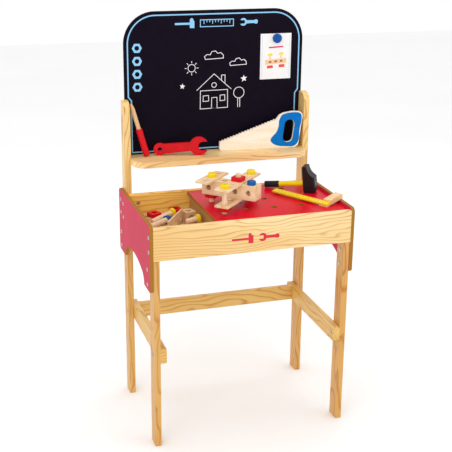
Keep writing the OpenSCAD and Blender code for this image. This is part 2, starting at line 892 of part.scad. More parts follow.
// Bolt lying on its head's rim on a surface at z: head's middle over p, shank along yaw
module lying_bolt(p, z, yaw, len, drop) {
    translate([p[0], p[1], z + lying_height(drop)]) rotate([0, 90 + drop, yaw])
        translate([0, 0, head_h / 2 + len]) rotate([180, 0, 0]) toy_bolt(len);
}

// Three-hole plate standing on its long edge, one end against the block
module tray_plate_edge() {
    color(beech) translate([edge_plate_pos[0], edge_plate_pos[1], tray_z + cell / 2])
        rotate([90, 0, edge_plate_yaw]) drilled_plate(3);
}

module tray_plate_left() {
    color(beech) translate([left_plate_pos[0], left_plate_pos[1], tray_z])
        rotate([0, 0, left_plate_yaw]) translate([-cell, 0, 0]) drilled_plate(3);
}

module tray_plate_right() {
    color(beech) translate([right_plate_pos[0], right_plate_pos[1], tray_z])
        rotate([0, 0, -90]) drilled_plate(2);
}

// Small cube drilled down and across
module tray_block() {
    color(beech) translate([block_pos[0], block_pos[1], tray_z])
        rotate([0, 0, block_yaw]) difference() {
            translate([-block_size / 2, -block_size / 2, 0]) cube(block_size);
            translate([0, 0, -1]) cylinder(d = hole_d, h = block_size + 2);
            bore_y(-block_size / 2 - 1, block_size / 2 + 1, 0, block_size / 2, hole_d);
        }
}

module tray_bolt_blue() {
    color(paint_blue)
        lying_bolt(blue_bolt_pos, tray_z, blue_bolt_yaw, long_shank, lying_drop);
}

module tray_bolt_yellow() {
    color(paint_yellow)
        lying_bolt(yellow_bolt_pos, on_plate_z, yellow_bolt_yaw, long_shank, plate_drop);
}

module tray_bolt_short() {
    color(paint_yellow)
        lying_bolt(short_bolt_pos, on_plate_z, short_bolt_yaw, short_shank, short_drop);
}

module tray_nut_left() {
    color(paint_red) translate([left_nut_pos[0], left_nut_pos[1], on_plate_z])
        rotate([0, 0, 22]) toy_nut();
}

module tray_nut_back() {
    color(paint_red) translate([back_nut_pos[0], back_nut_pos[1], tray_z])
        rotate([0, 0, 10]) toy_nut();
}

// ---------------------------------------------------------------- nodes

side_panel(-1);  // side_panel_left
side_panel(1);  // side_panel_right
front_apron();
back_apron();
tray_floor();
tray_divider();
worktop();
worktop_battens();
front_leg(-1);  // front_leg_left
front_leg(1);  // front_leg_right
back_leg(-1);  // back_leg_left
back_leg(1);  // back_leg_right
upright(-1);  // upright_left
upright(1);  // upright_right
side_rail(-1);  // side_rail_left
side_rail(1);  // side_rail_right
back_rail();
tool_shelf();
chalkboard();
panel_bolts();
sleeve_nuts();
barrel_nuts();
rail_bolts();
board_screws();
screwdriver_handle();
screwdriver_shank();
wrench();
saw();
hammer_head();
hammer_shaft();
hammer_grip();
square_stock();
square_ruler();
magnet();
plan_card();
plane_fuselage();
plane_nose();
plane_nose_peg();
plane_upper_wing();
plane_lower_wing();
plane_tail();
plane_bolt_tail();
plane_strut_bolt(-1);  // plane_bolt_left
plane_strut_bolt(1);  // plane_bolt_right
plane_bolt_centre();
plane_bolt_nose();
plane_nut_tail();
plane_strut_nut(-1);  // plane_nut_left
plane_strut_nut(1);  // plane_nut_right
plane_nut_centre();
tray_plate_edge();
tray_plate_left();
tray_plate_right();
tray_block();
tray_bolt_blue();
tray_bolt_yellow();
tray_bolt_short();
tray_nut_left();
tray_nut_back();
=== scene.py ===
import math
import bpy
import bmesh
from mathutils import Matrix, Vector


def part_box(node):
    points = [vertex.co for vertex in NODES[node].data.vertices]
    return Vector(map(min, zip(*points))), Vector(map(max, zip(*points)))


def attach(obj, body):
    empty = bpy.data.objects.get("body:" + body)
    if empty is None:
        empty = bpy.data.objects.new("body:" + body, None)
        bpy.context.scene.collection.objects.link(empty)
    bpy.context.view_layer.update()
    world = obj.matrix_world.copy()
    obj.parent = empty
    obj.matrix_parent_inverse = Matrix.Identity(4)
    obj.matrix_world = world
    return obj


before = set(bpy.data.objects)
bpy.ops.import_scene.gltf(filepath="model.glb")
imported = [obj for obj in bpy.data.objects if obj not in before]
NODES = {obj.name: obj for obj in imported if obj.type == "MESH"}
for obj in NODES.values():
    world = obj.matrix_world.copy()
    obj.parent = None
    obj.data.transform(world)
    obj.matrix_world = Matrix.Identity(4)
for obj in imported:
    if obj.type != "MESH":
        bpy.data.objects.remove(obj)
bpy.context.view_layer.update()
scene = bpy.context.scene
scene.view_settings.view_transform = "Standard"
scene.view_settings.look = "None"

# ------------------------------------------------------------------ node helpers


class Mat:
    """A material under construction: short calls for the nodes used here."""

    def __init__(self, start):
        """start is a new material's name, or a finished material that gets more on top."""
        if isinstance(start, str):
            self.mat = bpy.data.materials.new(start)
            self.mat.use_nodes = True
            self.tree = self.mat.node_tree
            self.tree.nodes.clear()
            out = self.tree.nodes.new("ShaderNodeOutputMaterial")
            self.bsdf = self.tree.nodes.new("ShaderNodeBsdfPrincipled")
            self.tree.links.new(self.bsdf.outputs[0], out.inputs[0])
        else:
            self.mat = start
            self.tree = start.node_tree
            self.bsdf = self.tree.nodes["Principled BSDF"]
        self.coord = self.tree.nodes.new("ShaderNodeTexCoord").outputs["Object"]

    def base(self):
        """The socket that a finished material's colour comes from."""
        return self.bsdf.inputs["Base Color"].links[0].from_socket

    def link(self, a, b):
        self.tree.links.new(a, b)

    def node(self, kind, **props):
        n = self.tree.nodes.new(kind)
        for key, value in props.items():
            setattr(n, key, value)
        return n

    def feed(self, socket, value):
        if hasattr(value, "is_output"):
            self.link(value, socket)
        else:
            socket.default_value = value

    def dot(self, direction):
        """How far a point lies along a direction, in metres."""
        n = self.node("ShaderNodeVectorMath", operation="DOT_PRODUCT")
        self.link(self.coord, n.inputs[0])
        n.inputs[1].default_value = direction
        return n.outputs["Value"]

    def two_tone(self, fac, color, dark):
        """A colour that drifts to a darker one of the same hue."""
        return self.mix(fac, color, tuple(c * dark for c in color))

    def split(self, vec):
        n = self.node("ShaderNodeSeparateXYZ")
        self.link(vec, n.inputs[0])
        return n.outputs

    def mapping(self, scale=(1, 1, 1), rot=(0, 0, 0), loc=(0, 0, 0), source=None):
        n = self.node("ShaderNodeMapping")
        self.link(source or self.coord, n.inputs[0])
        n.inputs["Location"].default_value = loc
        n.inputs["Rotation"].default_value = rot
        n.inputs["Scale"].default_value = scale
        return n.outputs[0]

    def noise(self, vec, scale, detail=2.0, rough=0.5, distortion=0.0):
        n = self.node("ShaderNodeTexNoise")
        self.link(vec, n.inputs["Vector"])
        n.inputs["Scale"].default_value = scale
        n.inputs["Detail"].default_value = detail
        n.inputs["Roughness"].default_value = rough
        n.inputs["Distortion"].default_value = distortion
        return n.outputs["Fac"]

    def math(self, op, a, b=0.0, clamp=False):
        n = self.node("ShaderNodeMath", operation=op, use_clamp=clamp)
        self.feed(n.inputs[0], a)
        self.feed(n.inputs[1], b)
        return n.outputs[0]

    def ramp(self, fac, stops):
        n = self.node("ShaderNodeValToRGB")
        self.link(fac, n.inputs[0])
        elements = n.color_ramp.elements
        while len(elements) < len(stops):
            elements.new(0.5)
        for element, (place, color) in zip(elements, stops):
            element.position = place
            element.color = (*color, 1)
        return n.outputs[0]

    def fac(self, value, lo, hi, out0=0.0, out1=1.0):
        """Value from lo to hi, spread over out0 to out1."""
        n = self.node("ShaderNodeMapRange")
        self.link(value, n.inputs[0])
        for i, x in enumerate((lo, hi, out0, out1)):
            n.inputs[i + 1].default_value = x
        return n.outputs[0]

    def mix(self, fac, a, b, blend="MIX"):
        n = self.node("ShaderNodeMix", data_type="RGBA", blend_type=blend)
        self.feed(n.inputs[0], fac)
        for i, c in ((6, a), (7, b)):
            if hasattr(c, "is_output"):
                self.link(c, n.inputs[i])
            else:
                n.inputs[i].default_value = (*c, 1)
        return n.outputs[2]

    def normal_axes(self):
        return self.split(self.node("ShaderNodeNewGeometry").outputs["Normal"])

    def color(self, value):
        self.feed(self.bsdf.inputs["Base Color"], value if hasattr(value, "is_output") else (*value, 1))

    def rough(self, value):
        self.feed(self.bsdf.inputs["Roughness"], value)

    def bump(self, height, strength, distance=0.001):
        n = self.node("ShaderNodeBump")
        self.link(height, n.inputs["Height"])
        n.inputs["Strength"].default_value = strength
        n.inputs["Distance"].default_value = distance
        self.link(n.outputs[0], self.bsdf.inputs["Normal"])

    def curve(self, value, points):
        """Smooth curve through points, both axes from 0 to 1."""
        n = self.node("ShaderNodeFloatCurve")
        self.link(value, n.inputs["Value"])
        line = n.mapping.curves[0].points
        while len(line) < len(points):
            line.new(0.5, 0.5)
        for point, xy in zip(line, points):
            point.location = xy
        n.mapping.update()
        return n.outputs[0]

    def gloss(self, level):
        self.bsdf.inputs["Specular IOR Level"].default_value = level

    def coat(self, weight, rough):
        self.bsdf.inputs["Coat Weight"].default_value = weight
        self.bsdf.inputs["Coat Roughness"].default_value = rough


def grain_map(m, along, offset):
    """Coordinates in which the grain runs along Z, shifted for each board."""
    rots = {"x": (0, math.radians(90), 0), "y": (math.radians(90), 0, 0), "z": (0, 0, 0)}
    return m.mapping(rot=rots[along], loc=offset)


def yaw_grain_map(m, yaw, offset):
    """Grain along a horizontal direction at an angle to X."""
    first = m.mapping(rot=(0, 0, -yaw), loc=offset)
    return m.mapping(rot=(0, math.radians(90), 0), source=first)


PINE_LIGHT = (0.90, 0.68, 0.34)
PINE_MID = (0.82, 0.53, 0.20)
PINE_DARK = (0.57, 0.24, 0.040)
LEG_TINT = (0.78, 0.61, 0.35)
RAIL_TINT = (0.88, 0.79, 0.50)
UPRIGHT_TINT = (0.99, 0.93, 0.74)
BIN_TINT = (1.10, 0.98, 0.45)
SHELF_TINT = (1.09, 1.09, 1.12)
RINGS_PER_METRE = 88.0
RING_BEND = 9.0


def pine(name, along, offset, tint=None):
    """Plain-sawn pine: bent growth rings, fine pores, small knots and thin varnish."""
    m = Mat(name)
    vec = grain_map(m, along, offset)
    # growth rings: distance from a pith line near the board, wobbled along the grain
    wave = m.noise(m.mapping(scale=(7, 7, 2.4), source=vec), 1.0, 3.0, 0.45)
    across = m.split(vec)
    dx = m.math("ADD", across[0], m.math("ADD", m.math("MULTIPLY", wave, 0.095), 0.045))
    dy = m.math("ADD", across[1], m.math("MULTIPLY", wave, 0.06))
    dist = m.math("SQRT", m.math("ADD", m.math("MULTIPLY", dx, dx), m.math("MULTIPLY", dy, dy)))
    # a slow drift bends and bunches the rings, as in a plain-sawn board
    figure = m.noise(m.mapping(scale=(13, 13, 3.0), source=vec), 1.0, 2.0, 0.45, 0.4)
    bent = m.math("ADD", m.math("MULTIPLY", dist, RINGS_PER_METRE), m.math("MULTIPLY", figure, RING_BEND))
    rings = m.math("FRACT", bent)
    late = m.ramp(rings, [(0.0, (0, 0, 0)), (0.60, (0.07, 0.07, 0.07)), (0.87, (1, 1, 1)), (1.0, (0, 0, 0))])
    fine = m.noise(m.mapping(scale=(900, 900, 14), source=vec), 1.0, 2.0, 0.6)
    blotch = m.noise(m.mapping(scale=(14, 14, 3), source=vec), 1.0, 2.0, 0.5)
    base = m.mix(m.fac(blotch, 0.35, 0.65), PINE_LIGHT, PINE_MID)
    streak = m.noise(m.mapping(scale=(22, 22, 2.5), source=vec), 1.0, 2.0, 0.5)
    col = m.mix(m.math("MULTIPLY", late, m.fac(streak, 0.34, 0.62, 0.55, 1.0)), base, PINE_DARK)
    col = m.mix(m.fac(fine, 0.35, 0.75, 0.0, 0.16), col, (0.55, 0.29, 0.10))
    # small knots
    cells = m.node("ShaderNodeTexVoronoi", feature="F1")
    m.link(m.mapping(scale=(11, 11, 4.2), source=vec), cells.inputs["Vector"])
    cells.inputs["Scale"].default_value = 1.0
    cells.inputs["Randomness"].default_value = 1.0
    knot = m.fac(cells.outputs["Distance"], 0.02, 0.075, 1.0, 0.0)
    col = m.mix(m.math("MULTIPLY", knot, 0.6), col, (0.45, 0.19, 0.04))
    if tint:
        col = m.mix(1.0, col, tint, "MULTIPLY")
    m.color(col)
    m.rough(m.fac(fine, 0.3, 0.7, 0.36, 0.48))
    m.gloss(0.35)
    m.coat(0.12, 0.25)
    h = m.math("ADD", m.math("MULTIPLY", late, 0.5), m.math("MULTIPLY", fine, 0.5))
    m.bump(h, 0.25, 0.0004)
    return m.mat


def beech(name, vec_of, light=(0.92, 0.73, 0.48), dark=(0.77, 0.51, 0.27)):
    """Fine pale wood with short flecks: the blocks, plates and plain tools."""
    m = Mat(name)
    vec = vec_of(m)
    streak = m.noise(m.mapping(scale=(240, 240, 12), source=vec), 1.0, 3.0, 0.6)
    band = m.noise(m.mapping(scale=(60, 60, 4), source=vec), 1.0, 2.0, 0.5, 0.6)
    fleck = m.noise(m.mapping(scale=(1400, 1400, 190), source=vec), 1.0, 1.0, 0.5)
    col = m.mix(m.fac(band, 0.32, 0.68), light, dark)
    col = m.mix(m.fac(streak, 0.42, 0.72, 0.0, 0.55), col, dark)
    col = m.mix(m.fac(fleck, 0.62, 0.70, 0.0, 0.35), col, (0.52, 0.30, 0.14))
    m.color(col)
    m.rough(m.fac(streak, 0.3, 0.7, 0.42, 0.55))
    m.bump(m.math("ADD", streak, fleck), 0.18, 0.0003)
    return m.mat


def paint(name, color, rough=0.32, coat=0.0875, dark=0.82, gloss=0.16):
    """Brushed lacquer on wood: slight tone drift, orange peel and faint grain."""
    m = Mat(name)
    drift = m.noise(m.mapping(scale=(40, 40, 40)), 1.0, 2.0, 0.5)
    peel = m.noise(m.mapping(scale=(900, 900, 900)), 1.0, 2.0, 0.5)
    grain = m.noise(m.mapping(scale=(500, 500, 60)), 1.0, 2.0, 0.6)
    m.color(m.two_tone(m.fac(drift, 0.3, 0.7), color, dark))
    m.rough(m.fac(peel, 0.3, 0.7, rough - 0.05, rough + 0.07))
    m.gloss(gloss)
    m.coat(coat, 0.18)
    m.bump(m.math("ADD", peel, grain), 0.12, 0.0003)
    return m.mat


def bolt_paint(name, color, axis, head_from):
    """Plain wooden shank; lacquer where a point lies further than head_from along axis."""
    m = Mat(name)
    is_head = m.fac(m.dot(axis), head_from - 0.0004, head_from)
    drift = m.noise(m.mapping(scale=(60, 60, 60)), 1.0, 2.0, 0.5)
    grain = m.noise(m.mapping(scale=(420, 420, 60)), 1.0, 2.0, 0.6)
    lacquer = m.two_tone(m.fac(drift, 0.3, 0.7), color, 0.82)
    wood = m.mix(m.fac(grain, 0.35, 0.7), (0.88, 0.66, 0.45), (0.74, 0.47, 0.28))
    m.color(m.mix(is_head, wood, lacquer))
    m.rough(m.mix(is_head, (0.6, 0.6, 0.6), (0.3, 0.3, 0.3)))
    m.bump(grain, 0.12, 0.0003)
    m.gloss(0.18)
    m.coat(0.08, 0.2)
    return m.mat


def steel(name):
    """Zinc-plated steel with a finely mottled surface."""
    m = Mat(name)
    mottle = m.noise(m.mapping(scale=(1500, 1500, 1500)), 1.0, 2.0, 0.6)
    m.color(m.mix(m.fac(mottle, 0.3, 0.7), (0.60, 0.57, 0.50), (0.42, 0.40, 0.35)))
    m.bsdf.inputs["Metallic"].default_value = 1.0
    m.rough(m.fac(mottle, 0.3, 0.7, 0.24, 0.40))
    m.bump(mottle, 0.08, 0.0002)
    return m.mat


# ------------------------------------------------------------------ CAD nodes' materials

BOARD_EDGE = (0.42, 0.20, 0.030)
RED = (0.68, 0.004, 0.012)
YELLOW = (0.93, 0.69, 0.010)
BLUE = (0.002, 0.095, 0.37)
SAW_BLUE = (0.0, 0.175, 0.57)
BLACK = (0.018, 0.009, 0.012)
# the bin's loose plates and block: the plane's beech made darker, as painted shade for the deep bin they lie
# in
TRAY_WOOD_SHADED = ((0.80, 0.56, 0.32), (0.62, 0.38, 0.18))


def assign(names, mat):
    for name in names:
        obj = NODES[name]
        obj.data.materials.clear()
        obj.data.materials.append(mat)


def edge_round(names, width, segments=2):
    for name in names:
        mod = NODES[name].modifiers.new("edge_round", "BEVEL")
        mod.width = width
        mod.segments = segments
        mod.limit_method = "ANGLE"
        mod.angle_limit = math.radians(40)
        mod.harden_normals = False


def faced_board(name, face, axis, rough, coat):
    """Lacquered board: the colour on both faces, bare brown fibre on the edges."""
    m = Mat(name)
    is_face = m.fac(m.math("ABSOLUTE", m.normal_axes()[axis]), 0.80, 0.92)
    drift = m.noise(m.mapping(scale=(7, 7, 7)), 1.0, 2.0, 0.5)
    peel = m.noise(m.mapping(scale=(700, 700, 700)), 1.0, 2.0, 0.5)
    col = m.two_tone(m.fac(drift, 0.3, 0.7), face, 0.86)
    speck = m.noise(m.mapping(scale=(1600, 1600, 1600)), 1.0, 2.0, 0.6)
    brown = m.two_tone(m.fac(speck, 0.3, 0.7), BOARD_EDGE, 0.66)
    m.color(m.mix(is_face, brown, col))
    m.rough(m.mix(is_face, (0.75, 0.75, 0.75), (rough, rough, rough)))
    m.bump(m.math("ADD", peel, m.math("MULTIPLY", speck, 0.5)), 0.10, 0.0003)
    m.gloss(0.07)
    m.coat(coat, 0.12)
    return m.mat


def apron_material():
    """The front apron's pine, with a plain hammer and spanner printed in red on its face.
    The face is the object's foremost surface, so the ink is colour here, not a raised layer."""
    m = Mat(pine("pine_front_apron", "x", (0.3, 0.01, 0.53)))
    wood = m.base()
    place = m.split(m.coord)
    x, z = place[0], place[2]

    def offset(axis, centre, half):
        return m.math("DIVIDE", m.math("SUBTRACT", axis, centre / 1000), half / 1000)

    # bars and discs: centre, then half width and half height, or radius, all in mm
    def bar(cx, cz, half_w, half_h):
        across = m.math("ABSOLUTE", offset(x, cx, half_w))
        up = m.math("ABSOLUTE", offset(z, cz, half_h))
        return m.math("LESS_THAN", m.math("MAXIMUM", across, up), 1.0)

    def disc(cx, cz, r):
        across = m.math("POWER", m.math("ABSOLUTE", offset(x, cx, r)), 2.0)
        up = m.math("POWER", m.math("ABSOLUTE", offset(z, cz, r)), 2.0)
        return m.math("LESS_THAN", m.math("ADD", across, up), 1.0)

    hammer = [bar(-39, 549, 22, 2.8), bar(-11, 547, 6.6, 10.5), bar(-13.5, 560, 3.8, 3.4)]
    mouth = bar(12.5, 550, 9.5, 4.6)
    jaw = m.math("SUBTRACT", disc(20, 550, 11), mouth, clamp=True)
    handle = [bar(43, 550, 15.5, 3.9), disc(59, 550, 6)]
    mark = jaw
    for piece in hammer + handle:
        mark = m.math("MAXIMUM", mark, piece)
    mark = m.math("MULTIPLY", mark, m.math("LESS_THAN", m.normal_axes()[1], -0.8))
    drift = m.noise(m.mapping(scale=(300, 300, 300)), 1.0, 2.0, 0.6)
    ink = m.two_tone(m.fac(drift, 0.3, 0.7), (0.70, 0.012, 0.04), 0.87)
    m.color(m.mix(mark, wood, ink))
    return m.mat


assign(["front_apron"], apron_material())
# each pine board: the axis its grain follows, its place in the grain pattern, and its tint
PINE_BOARDS = {
    "back_apron": ("x", (0.9, 0.06, 0.21), BIN_TINT),
    "back_rail": ("x", (1.7, 0.3, 0.15), RAIL_TINT),
    "side_rail_left": ("y", (0.4, 1.1, 0.2), RAIL_TINT),
    "side_rail_right": ("y", (1.3, 0.5, 0.7), RAIL_TINT),
    "front_leg_left": ("z", (0.1, 0.2, 0.4), LEG_TINT),
    "front_leg_right": ("z", (1.2, 0.7, 1.4), LEG_TINT),
    "back_leg_left": ("z", (2.1, 0.9, 0.8), LEG_TINT),
    "back_leg_right": ("z", (0.7, 1.9, 2.2), LEG_TINT),
    "upright_left": ("z", (2.5, 0.3, 1.1), UPRIGHT_TINT),
    "upright_right": ("z", (0.5, 2.4, 0.3), UPRIGHT_TINT),
    "tool_shelf": ("x", (0.2, 0.8, 0.6), SHELF_TINT)}
for name, (along, offset, tint) in PINE_BOARDS.items():
    assign([name], pine("pine_" + name, along, offset, tint))
assign(["worktop_battens"], pine("pine_battens", "x", (0.9, 0.2, 0.9)))
assign(["side_panel_left", "side_panel_right"],
       faced_board("red_panel", (0.62, 0.038, 0.085), 0, 0.5, 0.0))
assign(["worktop"], faced_board("red_worktop", (0.69, 0.001, 0.018), 2, 0.3, 0.03))
assign(["tray_floor"], beech("plywood_floor", lambda m: grain_map(m, "x", (0.2, 0.4, 0.1)),
                             (0.80, 0.58, 0.35), (0.66, 0.42, 0.22)))
# the divider's brown is darker than the ply's own tone: partly painted shade, as it stands in the bin's
# shaded corner under the worktop's edge
assign(["tray_divider"], beech("plywood_divider_shaded", lambda m: grain_map(m, "y", (0.8, 0.1, 0.7)),
                               (0.52, 0.29, 0.10), (0.40, 0.20, 0.06)))
assign(["panel_bolts", "sleeve_nuts", "barrel_nuts", "rail_bolts", "board_screws"], steel("zinc_steel"))

edge_round(["front_apron", *PINE_BOARDS], 0.0012)
edge_round(["side_panel_left", "side_panel_right", "worktop", "tray_divider"], 0.0007)

NUTS = ["plane_nut_tail", "plane_nut_left", "plane_nut_right", "plane_nut_centre",
        "tray_nut_left", "tray_nut_back"]
assign(["screwdriver_handle", "wrench"] + NUTS, paint("red_lacquer", RED))


def far_along(name, direction):
    """The node's furthest point along a direction, in metres."""
    return max(v.co.dot(direction) for v in NODES[name].data.vertices)


def middle(name):
    low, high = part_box(name)
    return (Vector(low) + Vector(high)) / 2


def shaft_paint():
    """Yellow lacquer, black where the shaft's end shows on the head's far side."""
    to_head = (middle("hammer_head") - middle("hammer_grip")).to_2d().to_3d().normalized()
    black_from = far_along("hammer_shaft", to_head) - 0.012
    m = Mat(paint("hammer_shaft_lacquer", YELLOW))
    m.color(m.mix(m.fac(m.dot(to_head), black_from, black_from + 0.0005), m.base(), BLACK))
    return m.mat


assign(["hammer_shaft"], shaft_paint())


BOLT_HEAD = 0.0105


def bolt(name, color, axis):
    """axis points from the shank's end to the head."""
    to_head = Vector(axis).normalized()
    assign([name], bolt_paint("bolt_" + name, color, to_head, far_along(name, to_head) - BOLT_HEAD))


for name in ("plane_bolt_tail", "plane_bolt_left", "plane_bolt_right"):
    bolt(name, YELLOW, (0, 0, 1))
bolt("plane_bolt_centre", BLUE, (0, 0, -1))
bolt("plane_bolt_nose", BLUE, (0, 0, 1))


def lying_bolt(name, color, yaw, drop):
    """A bolt whose shank points along yaw and down by drop, in degrees."""
    turn, down = math.radians(yaw), math.radians(drop)
    bolt(name, color, (-math.cos(turn) * math.cos(down), -math.sin(turn) * math.cos(down), math.sin(down)))


lying_bolt("tray_bolt_blue", BLUE, -150, 3.79)
lying_bolt("tray_bolt_yellow", YELLOW, -151.4, 7.69)
lying_bolt("tray_bolt_short", YELLOW, 188, 8.63)
assign(["hammer_head"], paint("black_lacquer", BLACK, 0.42, 0.015, 0.7, 0.18))
assign(["hammer_grip"], paint("black_grip", (0.018, 0.018, 0.02), 0.55, 0.0, 0.6))
assign(["magnet"], paint("blue_magnet", (0.002, 0.085, 0.36), 0.24, 0.075))
PLANE_YAW = math.radians(-44.8)
WING_YAW = PLANE_YAW + math.pi / 2
SQUARE_YAW = math.radians(30)
assign(["plane_fuselage", "plane_nose", "plane_nose_peg"],
       beech("beech_fuselage", lambda m: yaw_grain_map(m, PLANE_YAW, (0.3, 0.2, 0.9))))
for i, name in enumerate(["plane_upper_wing", "plane_lower_wing", "plane_tail"]):
    wood = beech("beech_" + name, lambda m: yaw_grain_map(m, WING_YAW, (0.9 + i, 0.6 * i, 0.4)))
    assign([name], wood)
# the bin's plates and block take the darker beech colours: painted shade, not a different wood
for name, yaw, offset in (("tray_plate_edge", 57, (0.5, 0.3, 0.8)), ("tray_plate_left", 0, (1.5, 0.3, 0.8)),
                          ("tray_plate_right", 90, (1.1, 0.3, 0.8)), ("tray_block", 14, (0.1, 1.3, 0.2))):
    wood = beech("beech_" + name, lambda m: yaw_grain_map(m, math.radians(yaw), offset), *TRAY_WOOD_SHADED)
    assign([name], wood)
assign(["screwdriver_shank"], beech("beech_screwdriver", lambda m: grain_map(m, "z", (0.1, 1.3, 0.2)),
                                    (0.86, 0.58, 0.30), (0.70, 0.42, 0.20)))
assign(["square_stock"], beech("beech_stock", lambda m: yaw_grain_map(m, SQUARE_YAW, (1.1, 1.3, 0.7)),
                               (0.90, 0.62, 0.34), (0.76, 0.46, 0.21)))
assign(["square_ruler"], paint("ruler_yellow", (0.93, 0.66, 0.015), 0.36, 0.05, 0.9))


SAW_YAW = math.radians(4.3)
SAW_CORNER = Vector((0.0075, 0.151, 0.6933))
SAW_LENGTH = 240
SAW_HEIGHT = 110


def saw_material():
    """Pale plywood; the handle lacquered blue on both faces, up to a bare rim."""
    light, dark = (0.99, 0.93, 0.84), (0.94, 0.81, 0.64)
    m = Mat(beech("saw_plywood", lambda m: grain_map(m, "x", (0.4, 0.9, 0.1)), light, dark))
    wood = m.base()
    # the saw's own frame, from its lower front corner: x along it and z up, each from 0 to 1
    turned = Matrix.Rotation(SAW_YAW, 3, "Z") @ SAW_CORNER
    own = m.split(m.mapping(rot=(0, 0, SAW_YAW), loc=-turned))
    x = m.math("DIVIDE", own[0], SAW_LENGTH / 1000)
    z = m.math("DIVIDE", own[2], SAW_HEIGHT / 1000)
    # the paint's edges, as (x, z) in mm
    front_edge = [(186, 4), (163, 7.5), (148, 16.5), (145, 25.5), (151, 34.5), (161, 45.5), (166.5, 60),
                  (168.5, 79), (174, 91)]
    rear_edge = [(205, 2), (216, 6), (223, 13), (228, 50), (233, 88), (230, 96)]
    top_edge = [(165, 88), (172, 90), (181, 95.5), (205, 99.5), (222, 98.7), (230, 95), (234, 88)]
    rim = 2.2
    ahead = m.math("GREATER_THAN", x, m.curve(z, [(b / SAW_HEIGHT, a / SAW_LENGTH) for a, b in front_edge]))
    behind = m.math("LESS_THAN", x, m.curve(z, [(b / SAW_HEIGHT, a / SAW_LENGTH) for a, b in rear_edge]))
    below = m.math("LESS_THAN", z, m.curve(x, [(a / SAW_LENGTH, b / SAW_HEIGHT) for a, b in top_edge]))
    above = m.math("GREATER_THAN", z, rim / SAW_HEIGHT)
    painted = m.math("GREATER_THAN", m.math("ABSOLUTE", m.normal_axes()[1]), 0.8)
    for inside in (ahead, behind, below, above):
        painted = m.math("MULTIPLY", painted, inside)
    drift = m.noise(m.mapping(scale=(60, 60, 60)), 1.0, 2.0, 0.5)
    m.color(m.mix(painted, wood, m.two_tone(m.fac(drift, 0.3, 0.7), SAW_BLUE, 0.86)))
    m.gloss(0.10)
    return m.mat


assign(["saw"], saw_material())
assign(["plan_card"], paint("white_card", (0.86, 0.86, 0.85), 0.5, 0.025, 0.97))
assign(["chalkboard"], paint("chalkboard_black", (0.0065, 0.0035, 0.0105), 0.7, 0.0, 0.75, 0.06))
edge_round(["plane_fuselage", "plane_nose", "plane_upper_wing", "plane_lower_wing", "plane_tail",
            "tray_plate_edge", "tray_plate_left", "tray_plate_right", "tray_block", "square_stock",
            "square_ruler", "wrench", "saw", "hammer_head"], 0.0006)
edge_round(NUTS, 0.001, 3)

# ------------------------------------------------------------------ printed and drawn layers


def layer(name, shapes, y, thick, mat, body, place=None):
    """Closed thin solids. Each shape is (points in mm as (x, z), faces). They face -Y,
    or lie where place(u, v, height) puts them."""
    verts, faces = [], []
    for pts, polys in shapes:
        base = len(verts)
        n = len(pts)
        for t in (0, thick):
            if place:
                verts += [place(u, v, t) for u, v in pts]
            else:
                verts += [(u / 1000, (y - t) / 1000, v / 1000) for u, v in pts]
        edges = {(f[i], f[(i + 1) % len(f)]) for f in polys for i in range(len(f))}
        for f in polys:
            faces.append([base + i for i in f])
            faces.append([base + n + i for i in reversed(f)])
        for a, b in edges:
            if (b, a) not in edges:
                faces.append([base + b, base + a, base + n + a, base + n + b])
    mesh = bpy.data.meshes.new(name)
    mesh.from_pydata(verts, [], faces)
    bm = bmesh.new()
    bm.from_mesh(mesh)
    bmesh.ops.recalc_face_normals(bm, faces=bm.faces[:])
    bm.to_mesh(mesh)
    bm.free()
    obj = bpy.data.objects.new(name, mesh)
    scene.collection.objects.link(obj)
    mesh.materials.append(mat)
    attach(obj, body)


def stroke(points, width, closed=False):
    """Mitred band along a line of (x, z) points."""
    n = len(points)
    left, right = [], []
    for i, p in enumerate(points):
        prev = points[(i - 1) % n] if closed or i else None
        nxt = points[(i + 1) % n] if closed or i < n - 1 else None
        dirs = [Vector(b) - Vector(a) for a, b in ((prev, p), (p, nxt)) if a is not None and b is not None]
        dirs = [d.normalized() for d in dirs]
        normal = sum((Vector((-d.y, d.x)) for d in dirs), Vector((0, 0)))
        normal.normalize()
        cos = max(0.45, normal.dot(Vector((-dirs[0].y, dirs[0].x))))
        off = normal * (width / 2 / cos)
        left.append((p[0] + off.x, p[1] + off.y))
        right.append((p[0] - off.x, p[1] - off.y))
    last = n if closed else n - 1
    quads = [[i, (i + 1) % n, n + (i + 1) % n, n + i] for i in range(last)]
    return left + right, quads


def poly(points):
    return list(points), [list(range(len(points)))]


def arc(cx, cz, r, a0, a1, n):
    return [(cx + r * math.cos(math.radians(a0 + (a1 - a0) * i / n)),
             cz + r * math.sin(math.radians(a0 + (a1 - a0) * i / n))) for i in range(n + 1)]


# a hexagon's flats lie this much nearer to its centre than its corners
FLAT_SHARE = 0.866


def hex_nut(cx, cz, corners, bore):
    """Hexagonal nut, corners wide from corner to corner, with a round bore."""
    outer, inner = [], []
    for i in range(36):
        a = math.radians(10 * i)
        from_flat = 10 * i % 60 - 30
        r = corners / 2 * FLAT_SHARE / math.cos(math.radians(from_flat))
        outer.append((cx + r * math.cos(a), cz + r * math.sin(a)))
        inner.append((cx + bore / 2 * math.cos(a), cz + bore / 2 * math.sin(a)))
    return outer + inner, [[i, (i + 1) % 36, 36 + (i + 1) % 36, 36 + i] for i in range(36)]


def ring(cx, cz, r, width):
    return stroke(arc(cx, cz, r, 0, 350, 35), width, True)


def star(cx, cz, r, turn):
    """Five points, and a middle point that its faces share."""
    pts = []
    for i in range(10):
        a = math.radians(turn + 36 * i)
        reach = r if i % 2 == 0 else r * 0.45
        pts.append((cx + reach * math.cos(a), cz + reach * math.sin(a)))
    return pts + [(cx, cz)], [[i, (i + 1) % 10, 10] for i in range(10)]


